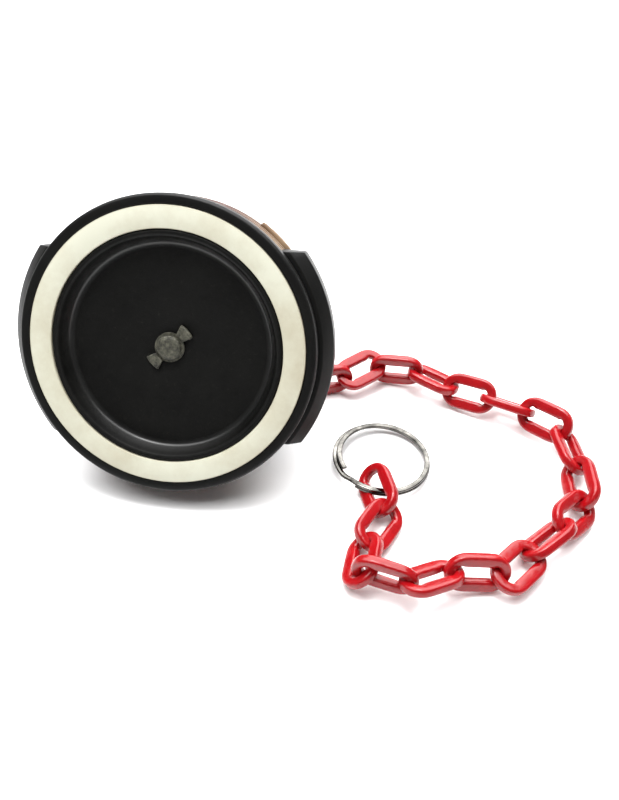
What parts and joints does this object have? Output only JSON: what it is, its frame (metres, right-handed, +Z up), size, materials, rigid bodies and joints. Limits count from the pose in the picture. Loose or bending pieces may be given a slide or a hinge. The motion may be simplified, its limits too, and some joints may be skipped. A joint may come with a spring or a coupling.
{
  "type": "deck fill cap",
  "caption": "round bayonet deck fill cap with a face gasket, dished seal plate and grip knob, with a link chain and split key ring on a swivel pin",
  "frame": {"origin": "middle of the sealing rim's front face, on the cap's own axis", "axes": "+Z up, +X along the two lugs towards the chain; the cap leans back 30 degrees, so its axis points along -Y and up"},
  "size_m": [0.1862, 0.1022, 0.0872],
  "materials": {
    "body_plastic": "black moulded plastic, satin with a fine grain",
    "plate_plastic": "black moulded plastic, finely textured",
    "gasket": "cream elastomer, smooth and slightly soiled",
    "pin_metal": "dull grey olive metal, rough as cast",
    "washer_metal": "plain stamped steel",
    "seal_rubber": "black nitrile rubber",
    "chain_plastic": "glossy red plastic, slightly translucent",
    "ring_steel": "bright nickel plated spring steel"
  },
  "bodies": {
    "cap": {"cap_body": "body_plastic", "grip_knob": "body_plastic", "seal_plate": "plate_plastic", "face_gasket": "gasket", "bow_tie_washer": "pin_metal", "pin_o_ring": "seal_rubber", "thrust_washer": "washer_metal"},
    "swivel": {"swivel_pin": "pin_metal"},
    "link_01": {"chain_link_01": "chain_plastic"},
    "link_02": {"chain_link_02": "chain_plastic"},
    "link_03": {"chain_link_03": "chain_plastic"},
    "link_04": {"chain_link_04": "chain_plastic"},
    "link_05": {"chain_link_05": "chain_plastic"},
    "link_06": {"chain_link_06": "chain_plastic"},
    "link_07": {"chain_link_07": "chain_plastic"},
    "link_08": {"chain_link_08": "chain_plastic"},
    "link_09": {"chain_link_09": "chain_plastic"},
    "link_10": {"chain_link_10": "chain_plastic"},
    "link_11": {"chain_link_11": "chain_plastic"},
    "link_12": {"chain_link_12": "chain_plastic"},
    "link_13": {"chain_link_13": "chain_plastic"},
    "link_14": {"chain_link_14": "chain_plastic"},
    "link_15": {"chain_link_15": "chain_plastic"},
    "link_16": {"chain_link_16": "chain_plastic"},
    "link_17": {"chain_link_17": "chain_plastic"},
    "link_18": {"chain_link_18": "chain_plastic"},
    "link_19": {"chain_link_19": "chain_plastic"},
    "link_20": {"chain_link_20": "chain_plastic"},
    "link_21": {"chain_link_21": "chain_plastic"},
    "link_22": {"chain_link_22": "chain_plastic"},
    "key_ring": {"key_ring": "ring_steel"}
  },
  "joints": [
    {"name": "pin_swivel", "type": "hinge", "parent": "cap", "child": "swivel", "pos_m": [0, 0, 0], "axis": [0, -0.866, 0.5], "continuous": true},
    {"name": "link_01_swing", "type": "hinge", "parent": "swivel", "child": "link_01", "pos_m": [0, 0.0407, -0.0281], "axis": [0, -1, 0], "range_deg": [-45, 0]},
    {"name": "link_02_swing", "type": "hinge", "parent": "link_01", "child": "link_02", "pos_m": [0.001, 0.0407, -0.03826], "axis": [-0.4358, -0.2911, -0.8517], "range_deg": [-45, 0]},
    {"name": "link_03_swing", "type": "hinge", "parent": "link_02", "child": "link_03", "pos_m": [0.01313, 0.03524, -0.04261], "axis": [-0.2474, -0.5939, 0.7656], "range_deg": [-25, 45]},
    {"name": "link_04_swing", "type": "hinge", "parent": "link_03", "child": "link_04", "pos_m": [0.02616, 0.03121, -0.04152], "axis": [-0.1338, 0.4902, 0.8613], "range_deg": [-15, 45]},
    {"name": "link_05_swing", "type": "hinge", "parent": "link_04", "child": "link_05", "pos_m": [0.03986, 0.03368, -0.04081], "axis": [0.342, -0.9397, 0], "range_deg": [-5, 5]},
    {"name": "link_06_swing", "type": "hinge", "parent": "link_05", "child": "link_06", "pos_m": [0.05307, 0.03849, -0.04075], "axis": [-0.1696, 0.3041, -0.9374], "range_deg": [-45, 20]},
    {"name": "link_07_swing", "type": "hinge", "parent": "link_06", "child": "link_07", "pos_m": [0.06494, 0.04427, -0.04102], "axis": [0.0872, 0.9962, 0], "range_deg": [-45, 45]},
    {"name": "link_08_swing", "type": "hinge", "parent": "link_07", "child": "link_08", "pos_m": [0.07892, 0.04305, -0.04061], "axis": [0.204, 0.2823, 0.9374], "range_deg": [-20, 45]},
    {"name": "link_09_swing", "type": "hinge", "parent": "link_08", "child": "link_09", "pos_m": [0.0917, 0.03724, -0.04164], "axis": [0.3271, 0.7527, -0.5714], "range_deg": [-45, 35]},
    {"name": "link_10_swing", "type": "hinge", "parent": "link_09", "child": "link_10", "pos_m": [0.10484, 0.03228, -0.04065], "axis": [-0.2073, -0.6086, -0.7659], "range_deg": [-45, 45]},
    {"name": "link_11_swing", "type": "hinge", "parent": "link_10", "child": "link_11", "pos_m": [0.11758, 0.02663, -0.03962], "axis": [-0.5324, -0.6844, 0.4981], "range_deg": [-35, 45]},
    {"name": "link_12_swing", "type": "hinge", "parent": "link_11", "child": "link_12", "pos_m": [0.12795, 0.01783, -0.04064], "axis": [0.5688, 0.0933, 0.8172], "range_deg": [-20, 45]},
    {"name": "link_13_swing", "type": "hinge", "parent": "link_12", "child": "link_13", "pos_m": [0.13093, 0.00412, -0.04114], "axis": [0.8143, 0.0913, -0.5732], "range_deg": [-45, 45]},
    {"name": "link_14_swing", "type": "hinge", "parent": "link_13", "child": "link_14", "pos_m": [0.1313, -0.00971, -0.04282], "axis": [0.5948, -0.2912, 0.7493], "range_deg": [-20, 45]},
    {"name": "link_15_swing", "type": "hinge", "parent": "link_14", "child": "link_15", "pos_m": [0.12291, -0.02071, -0.04045], "axis": [0.5856, -0.4317, -0.6861], "range_deg": [-45, 15]},
    {"name": "link_16_swing", "type": "hinge", "parent": "link_15", "child": "link_16", "pos_m": [0.11319, -0.0304, -0.04265], "axis": [-0.2308, 0.1276, -0.9646], "range_deg": [-5, 15]},
    {"name": "link_17_swing", "type": "hinge", "parent": "link_16", "child": "link_17", "pos_m": [0.10254, -0.03822, -0.04114], "axis": [0.2101, -0.9172, 0.3387], "range_deg": [-5, 10]},
    {"name": "link_18_swing", "type": "hinge", "parent": "link_17", "child": "link_18", "pos_m": [0.0888, -0.04088, -0.0398], "axis": [-0.1157, 0.4212, 0.8996], "range_deg": [-45, 15]},
    {"name": "link_19_swing", "type": "hinge", "parent": "link_18", "child": "link_19", "pos_m": [0.07606, -0.04503, -0.03949], "axis": [-0.1736, -0.9848, 0], "range_deg": [-45, 15]},
    {"name": "link_20_swing", "type": "hinge", "parent": "link_19", "child": "link_20", "pos_m": [0.0637, -0.04285, -0.04228], "axis": [-0.6345, 0.1225, 0.7631], "range_deg": [-45, 45]},
    {"name": "link_21_swing", "type": "hinge", "parent": "link_20", "child": "link_21", "pos_m": [0.06589, -0.02906, -0.04267], "axis": [-0.4914, 0.1293, -0.8613], "range_deg": [-25, 45]},
    {"name": "link_22_swing", "type": "hinge", "parent": "link_21", "child": "link_22", "pos_m": [0.06873, -0.01612, -0.04236], "axis": [-0.6771, -0.2071, 0.7061], "range_deg": [-45, 45]},
    {"name": "key_ring_swing", "type": "hinge", "parent": "link_22", "child": "key_ring", "pos_m": [0.06699, -0.01126, -0.04337], "axis": [0.9974, -0.0249, -0.068], "range_deg": [-20, 75]}
  ]
}
